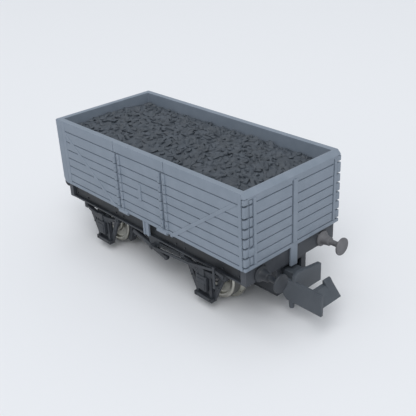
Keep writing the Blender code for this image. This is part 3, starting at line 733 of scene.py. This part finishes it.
def axleguard_shape():
    """One guard on the -Y side about x = 0: W-iron, axlebox, leaf spring, shoes and keep."""
    side = -1
    top = SOLEBAR_BOTTOM - FIT
    shapes = [
        block((-1.45, side * 6.95, 1.35), (1.45, side * 7.35, 5.6)),
        block((-1.55, side * 6.95, 1.2), (1.55, side * 7.86, 1.75)),
    ]
    for end in (-1, 1):
        leg = [(end * x, z) for x, z in ((0.95, 1.3), (1.55, 1.3), (3.75, top), (2.95, top))]
        shapes.append(plate(leg, side, 6.97, 7.33))
        shapes.append(block((end * 0.95, side * 7.0, 1.4), (end * 1.4, side * 7.62, 5.2)))
        shapes.append(block((end * 3.25, side * 7.02, 5.28), (end * 3.95, side * 7.7, top - 0.01)))
        shapes.append(drum("Y", (end * 3.5, side * 7.55, 5.62), 0.24, 0.55, sides=16))
        shapes.append(stud("Y", (end * 1.25, side * 7.88, 1.48)))
        shapes.append(stud("Y", (end * 3.3, side * 7.38, 5.05), 0.11))
        shapes.append(stud("Y", (end * 2.35, side * 7.36, 3.5), 0.11))
    shapes.append(block((-0.85, side * 7.2, 2.55), (0.85, side * 8.0, 4.55), 0.1))
    shapes.append(block((-0.68, side * 7.5, 2.75), (0.68, side * 8.1, 4.2), 0.12))
    shapes.append(block((-0.72, side * 7.9, 3.5), (0.72, side * 8.12, 3.62), 0.03))
    for number in range(4):
        outline = leaf(3.55 - 0.68 * number, 0.5, 0.2, 5.85 - 0.22 * number)
        shapes.append(plate(outline, side, 7.25 + 0.01 * number, 7.78 - 0.015 * number, 0.03))
    shapes.append(plate(leaf(2.0, 0.45, 0.7, 5.7), side, 7.3, 7.66, 0.02))
    shapes.append(block((-0.45, side * 7.28, 4.3), (0.45, side * 7.88, 5.6), 0.06))
    cup = drum("Y", (0, side * 7.2, AXLE_Z), 0.34, 1.0, 0.8, sides=24, edge=0.0)
    return joined([cut(shapes[0], [cup]), *shapes[1:]])


def axleguards():
    shape = axleguard_shape()
    for end, end_name in ((1, "front"), (-1, "rear")):
        for side, side_name in ((-1, "right"), (1, "left")):
            guard = moved(shape, (end * AXLE_X, 0, 0), half_turn=side > 0)
            name = f"{end_name}_{side_name}"
            piece(f"guard_{name}", guard, FRAME_PLASTIC, "frame_plastic", "wagon", f"axleguard_{name}")


# ---------------------------------------------------------------- brakes
BOSS_X = 1.0
BOSS_Z = 4.85


def bar(start, end, width):
    """Outline of a straight bar of the given width between two points in X and Z."""
    (x0, z0), (x1, z1) = start, end
    length = math.hypot(x1 - x0, z1 - z0)
    nx = -(z1 - z0) / length * width / 2
    nz = (x1 - x0) / length * width / 2
    return [(x0 + nx, z0 + nz), (x1 + nx, z1 + nz), (x1 - nx, z1 - nz), (x0 - nx, z0 - nz)]


def brake_rigging_shape():
    """V-hanger, boss, rod, long lever and its guard on the -Y side."""
    side = -1
    top = SOLEBAR_BOTTOM - FIT
    hanger = [(-0.3, top), (2.3, top), (BOSS_X + 0.45, 4.2), (BOSS_X - 0.45, 4.2)]
    return joined([
        plate(hanger, side, 7.2, 7.5),
        drum("Y", (BOSS_X, side * 7.45, BOSS_Z), 0.36, 1.2),
        drum("Y", (BOSS_X, side * 8.1, BOSS_Z), 0.2, 0.12),
        plate(bar((-3.2, 5.5), (3.2, 3.95), 0.62), side, 7.12, 7.62, 0.1),
        drum("Y", (3.2, side * 7.37, 3.95), 0.36, 0.54, edge=0.1),
        plate(bar((BOSS_X, 5.2), (5.95, 5.4), 0.6), side, 7.1, 7.4),
        plate(bar((BOSS_X - 0.2, BOSS_Z + 0.05), (8.2, 5.45), 0.36), side, 7.9, 8.08),
        plate(bar((8.1, 5.42), (12.8, 6.35), 0.36), side, 7.91, 8.07),
        plate(bar((12.6, 6.33), (14.3, 6.1), 0.42), side, 7.92, 8.09, 0.08),
        block((12.6, side * 8.02, 3.9), (12.98, side * 8.2, 6.85)),
        block((12.61, side * 7.8, 6.55), (12.97, side * 8.18, 6.84)),
        block((12.61, side * 7.45, 3.91), (12.97, side * 8.18, 4.15)),
    ])


def brake_rigging():
    shape = brake_rigging_shape()
    for side_name, half_turn in (("right", False), ("left", True)):
        gear = moved(shape, half_turn=half_turn)
        node = f"brake_rigging_{side_name}"
        piece(f"brake_gear_{side_name}", gear, FRAME_PLASTIC, "frame_plastic", "wagon", node)


def brake_shoe_shape():
    """Hanger and block on the -Y side, inboard (-X) of a wheel whose centre is at x = 0."""
    side = -1
    inner, outer = 3.22, 3.85
    angles = [math.radians(160 + 56 * i / 10) for i in range(11)]
    face = [(inner * math.cos(a), AXLE_Z + inner * math.sin(a)) for a in angles]
    back = [(outer * math.cos(a), AXLE_Z + outer * math.sin(a)) for a in reversed(angles)]
    return joined([
        plate(face + back, side, 4.45, 5.45),
        block((-4.15, side * 4.7, 2.4), (-3.7, side * 5.2, FLOOR_BOTTOM - FIT)),
        block((-4.35, side * 4.6, FLOOR_BOTTOM - 0.5), (-3.5, side * 5.3, FLOOR_BOTTOM - FIT - 0.01)),
        drum("Y", (-3.92, side * 4.95, AXLE_Z - 0.3), 0.2, 1.15, sides=14),
    ])


def brake_shoes():
    shape = brake_shoe_shape()
    for end, end_name in ((1, "front"), (-1, "rear")):
        for side, side_name in ((-1, "right"), (1, "left")):
            shoe = moved(shape, (end * AXLE_X, 0, 0), half_turn=end < 0, mirror_y=side * end > 0)
            name = f"{end_name}_{side_name}"
            piece(f"shoe_{name}", shoe, FRAME_PLASTIC, "frame_plastic", "wagon", f"brake_shoe_{name}")


# ---------------------------------------------------------------- buffers
BUFFER_BOLT = 0.72


def buffer_shape():
    """Housing, shank and slightly domed head along +Y from the headstock face at y = 0."""
    reach = BUFFER_HIGH.x - BUFFER_LOW.x
    profile = [(0.001, 0.0), (0.98, 0.0), (1.0, 0.03), (1.0, 0.15), (0.96, 0.19), (0.74, 0.28), (0.68, 0.4)]
    profile += [(0.56, 1.1), (0.56, 1.28), (0.52, 1.34), (0.37, 1.38), (0.35, 1.45)]
    profile += [(0.35, reach - 0.62), (0.45, reach - 0.5), (0.98, reach - 0.38), (1.1, reach - 0.3)]
    profile += [(1.13, reach - 0.2), (1.11, reach - 0.1), (1.04, reach - 0.05), (0.6, reach - 0.012)]
    profile.append((0.001, reach))
    return lathe(profile)


def buffers():
    shape = buffer_shape()
    for end, end_name in ((1, "front"), (-1, "rear")):
        for side, side_name in ((-1, "right"), (1, "left")):
            stub = shape.copy()
            stub.transform(Matrix.Rotation(math.radians(-90 * end), 4, "Z"))
            face = end * (FRAME_HALF_LENGTH + FIT)
            stub.transform(Matrix.Translation((face, side * BUFFER_Y, BUFFER_Z)))
            bolts = []
            for dy in (-BUFFER_BOLT, BUFFER_BOLT):
                for dz in (-BUFFER_BOLT, BUFFER_BOLT):
                    centre = (face + end * 0.02, side * BUFFER_Y + dy, BUFFER_Z + dz)
                    bolts.append(stud("X", centre, 0.11, 0.12))
            name = f"buffer_{end_name}_{side_name}"
            # The front left buffer alone gets a paler plastic than the other three.
            finish = PALE_BUFFER_PLASTIC if (end, side) == (1, 1) else FRAME_PLASTIC
            piece(f"{name}_stub", joined([stub, *bolts]), finish, "frame_plastic", "wagon", name)


# ---------------------------------------------------------------- wheelsets
WHEEL_BACK = 3.7
WHEEL_FRONT = 5.6
FLANGE_RADIUS = 3.6
TREAD_RADIUS = 3.1
BUSH_RADIUS = 1.05
AXLE_RADIUS = 0.75
TIP_Y = 7.45


def arc(centre, radius, start, stop, steps):
    """Points of an arc in the profile plane, from one angle to another in degrees."""
    turns = [math.radians(start + (stop - start) * i / steps) for i in range(steps + 1)]
    return [(centre[0] + radius * math.cos(a), centre[1] + radius * math.sin(a)) for a in turns]


def wheel_profile():
    """Flanged wheel from the back rim to the front, with a dished web."""
    bore = BUSH_RADIUS + 0.03
    profile = [(bore, WHEEL_BACK), (1.5, WHEEL_BACK), (1.6, WHEEL_BACK + 0.18), (2.3, WHEEL_BACK + 0.22)]
    profile += [(2.45, WHEEL_BACK + 0.04), (3.3, WHEEL_BACK + 0.03)]
    profile += arc((FLANGE_RADIUS - 0.2, WHEEL_BACK + 0.24), 0.2, -80, 80, 6)
    profile += [(TREAD_RADIUS + 0.1, WHEEL_BACK + 0.54), (TREAD_RADIUS + 0.04, WHEEL_BACK + 0.6)]
    profile += [(TREAD_RADIUS - 0.03, WHEEL_FRONT - 0.1), (TREAD_RADIUS - 0.07, WHEEL_FRONT - 0.03)]
    profile += [(TREAD_RADIUS - 0.13, WHEEL_FRONT), (2.6, WHEEL_FRONT), (2.54, WHEEL_FRONT - 0.04)]
    profile += [(2.42, WHEEL_FRONT - 0.42), (2.3, WHEEL_FRONT - 0.46), (1.68, WHEEL_FRONT - 0.38)]
    profile += [(1.55, WHEEL_FRONT - 0.34), (1.48, WHEEL_FRONT - 0.06), (1.44, WHEEL_FRONT - 0.02)]
    profile += [(bore, WHEEL_FRONT - 0.02)]
    return profile


def tread_profile():
    """Band round the tread, standing just proud of the wheel; its darker metal is painted shade and a painted
    reflection of the dark underframe.
    """
    back, front = WHEEL_BACK + 0.72, WHEEL_FRONT - 0.22
    return [(2.9, back), (TREAD_RADIUS + 0.045, back), (TREAD_RADIUS - 0.005, front), (2.9, front)]


def wheelsets():
    wheel = lathe(wheel_profile(), sides=72, closed=True)
    inner = AXLE_RADIUS + 0.03
    low, high = WHEEL_BACK - 0.1, WHEEL_FRONT + 0.05
    bush = lathe([(inner, low), (BUSH_RADIUS, low), (BUSH_RADIUS, high - 0.03), (BUSH_RADIUS - 0.03, high),
                  (inner, high)], sides=40, closed=True)
    half = [(AXLE_RADIUS, 5.75), (AXLE_RADIUS - 0.05, 5.8), (0.42, 5.93), (0.4, 5.97), (0.4, TIP_Y - 0.55)]
    half += [(0.001, TIP_Y)]
    axle = lathe([(radius, -along) for radius, along in reversed(half)] + half, sides=32)
    tread = lathe(tread_profile(), sides=72, closed=True)
    for end, end_name in ((1, "front"), (-1, "rear")):
        centre = (end * AXLE_X, 0, AXLE_Z)
        body = f"wheelset_{end_name}"
        piece(f"axle_{end_name}_shaft", moved(axle, centre), STEEL, "steel", body, f"axle_{end_name}")
        for side, side_name in ((-1, "right"), (1, "left")):
            label = f"{end_name}_{side_name}"
            disc = moved(wheel, centre, half_turn=side < 0)
            ring = moved(bush, centre, half_turn=side < 0)
            piece(f"wheel_{label}_rim", disc, WHEEL_METAL, "wheel_metal", body, f"wheel_{label}", crease=35.0)
            # The tread band carries painted shade: a darker metal than the wheel, standing in for shade and a
            # reflection of the underframe.
            shaded_band = moved(tread, centre, half_turn=side < 0)
            piece(f"wheel_{label}_tread", shaded_band, SHADED_TREAD_METAL, "wheel_metal", body, f"wheel_{label}")
            piece(f"bush_{label}_ring", ring, FRAME_PLASTIC, "frame_plastic", body, f"bush_{label}")


# ---------------------------------------------------------------- couplers
COUPLER_Z = PIVOT.z
ARM_FACE = 2.35
ARM_END = box_mm("coupler_front")[1].x


def coupler_shape():
    """Shank with its tail, cross plate, long arm, peg and hook, for the +X end."""
    low, high = COUPLER_Z - 0.5, COUPLER_Z + 0.5
    arm_inner = ARM_FACE - 0.4
    cross = [(-2.33, 3.5), (2.3, 3.5), (2.3, 5.86), (-1.0, 6.3), (-1.6, 6.33), (-2.33, 6.0)]
    crossbar = plate([(y, z) for y, z in cross], -1, 19.65, 20.2)
    crossbar.transform(Matrix.Rotation(math.radians(90), 4, "Z"))
    arm = [(18.6, 5.2), (18.2, 4.9), (18.15, 3.3), (18.38, 2.75), (18.85, 2.37)]
    arm += [(ARM_END, 2.35), (ARM_END, 5.2)]
    lean = 0.6
    hook = [(23.75, 3.15), (22.45, 4.62), (22.45 - lean, 4.62), (23.75 - lean, 3.15)]
    nose = [(22.0, 4.3), (22.75, 4.3), (22.42, 4.9), (22.25, 5.15), (22.05, 5.2), (21.88, 5.1)]
    return joined([
        block((13.95, -1.55, low - 0.9), (14.75, 1.55, high + 0.1)),
        block((14.5, -0.95, low), (20.0, 0.95, high), 0.08),
        crossbar,
        plate(arm, -1, arm_inner, ARM_FACE, 0.06),
        drum("Z", (19.35, -ARM_FACE + 0.42, 1.95), 0.3, 1.2, 0.4),
        plate(hook, 1, -arm_inner - 0.2, 1.6, 0.06),
        plate(nose, 1, 0.3, 1.5, 0.1),
    ])


def coupler_spring_shape():
    turns, start_x, end_x, radius = 3, 13.1, 13.75, 0.48
    steps = 24 * turns
    path = []
    for step in range(steps + 1):
        turn = 2 * math.pi * turns * step / steps
        x = start_x + (end_x - start_x) * step / steps
        path.append((x, radius * math.cos(turn), COUPLER_Z + radius * math.sin(turn)))
    return tube(path, 0.08)


def coupler_cover_shape():
    return joined([
        block((12.45, -2.55, POCKET_BOTTOM - 0.3), (17.6, 2.55, POCKET_BOTTOM - FIT)),
        block((13.3, -1.9, POCKET_BOTTOM - 0.2), (16.8, -1.7, POCKET_BOTTOM + 0.03)),
        block((13.3, 1.7, POCKET_BOTTOM - 0.2), (16.8, 1.9, POCKET_BOTTOM + 0.03)),
    ])


def couplers():
    hook = coupler_shape()
    spring = coupler_spring_shape()
    cover = coupler_cover_shape()
    for end, end_name in ((1, "front"), (-1, "rear")):
        half_turn = end < 0
        grip = moved(hook, half_turn=half_turn)
        coil = moved(spring, half_turn=half_turn)
        lid = moved(cover, half_turn=half_turn)
        body = f"coupler_{end_name}"
        piece(f"hook_{end_name}", grip, COUPLER_PLASTIC, "frame_plastic", f"{body}_hook", body)
        piece(f"spring_{end_name}", coil, STEEL, "steel", f"{body}_swing", f"coupler_spring_{end_name}")
        piece(f"cover_{end_name}", lid, FRAME_PLASTIC, "frame_plastic", "wagon", f"coupler_cover_{end_name}")


camera()
studio()
body_tub()
coal_load()
ballast_weight()
underframe()
axleguards()
brake_rigging()
brake_shoes()
buffers()
wheelsets()
couplers()
